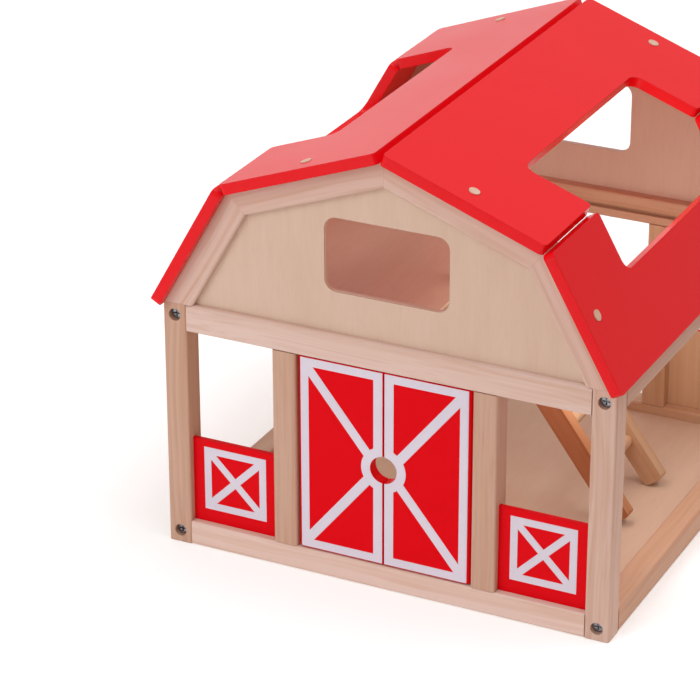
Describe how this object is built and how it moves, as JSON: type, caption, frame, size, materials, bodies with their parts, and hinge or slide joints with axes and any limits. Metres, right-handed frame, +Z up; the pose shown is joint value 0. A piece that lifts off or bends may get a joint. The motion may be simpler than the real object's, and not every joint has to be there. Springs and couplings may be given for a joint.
{
  "type": "toy barn",
  "caption": "Wooden toy barn with a red gambrel roof, hinged double doors with a round finger hole, windows in the gables, a half loft and a ladder.",
  "frame": {"origin": "on the ground under the middle of the barn", "axes": "+Z up; the doors face -Y; +X is to the right as seen from the front"},
  "size_m": [0.3106, 0.314, 0.2905],
  "materials": {
    "pine": "clear satin lacquer",
    "plywood": "clear satin lacquer",
    "panel_paint": "glossy red paint on the outer face and the edges, clear lacquer on the wood inside",
    "roof_paint": "glossy red paint",
    "door_paint": "glossy red paint",
    "print_white": "satin white print, taken as 0.15 mm thick",
    "ladder_wood": "clear satin lacquer",
    "dowel_wood": "bare beech",
    "steel": "zinc plated"
  },
  "bodies": {
    "barn": {"front_left_post": "pine", "front_right_post": "pine", "rear_left_post": "pine", "rear_right_post": "pine", "front_bottom_rail": "pine", "rear_bottom_rail": "pine", "front_top_rail": "pine", "rear_top_rail": "pine", "left_side_rail": "pine", "right_side_rail": "pine", "left_eave_beam": "pine", "right_eave_beam": "pine", "front_left_door_post": "pine", "front_right_door_post": "pine", "rear_left_door_post": "pine", "rear_right_door_post": "pine", "front_gable_upper_left": "pine", "front_gable_upper_right": "pine", "front_gable_lower_left": "pine", "front_gable_lower_right": "pine", "rear_gable_upper_left": "pine", "rear_gable_upper_right": "pine", "rear_gable_lower_left": "pine", "rear_gable_lower_right": "pine", "front_gable_panel": "plywood", "rear_gable_panel": "plywood", "floor_board": "plywood", "loft_floor": "plywood", "front_left_panel": "panel_paint", "front_right_panel": "panel_paint", "rear_left_panel": "panel_paint", "rear_right_panel": "panel_paint", "roof_upper_left": "roof_paint", "roof_upper_right": "roof_paint", "roof_lower_left": "roof_paint", "roof_lower_right": "roof_paint", "front_left_panel_print": "print_white", "front_right_panel_print": "print_white", "rear_left_panel_print": "print_white", "rear_right_panel_print": "print_white", "hinge_pins": "steel", "frame_bolts": "steel", "barrel_nuts": "steel", "roof_pegs": "dowel_wood", "frame_dowels": "dowel_wood", "gable_dowels": "dowel_wood"},
    "left_door": {"left_door": "door_paint", "left_door_print": "print_white"},
    "right_door": {"right_door": "door_paint", "right_door_print": "print_white"},
    "ladder": {"ladder_front_stile": "ladder_wood", "ladder_rear_stile": "ladder_wood", "ladder_rungs": "ladder_wood"}
  },
  "joints": [
    {"name": "left_door_hinge", "type": "hinge", "parent": "barn", "child": "left_door", "pos_m": [-0.0545, -0.145, 0.082], "axis": [0, 0, -1], "range_deg": [-90, 93]},
    {"name": "right_door_hinge", "type": "hinge", "parent": "barn", "child": "right_door", "pos_m": [0.0545, -0.145, 0.082], "axis": [0, 0, 1], "range_deg": [-90, 93]},
    {"name": "ladder_lift", "type": "slide", "parent": "barn", "child": "ladder", "axis": [0, 0, 1], "range_m": [0, 0.1]}
  ]
}
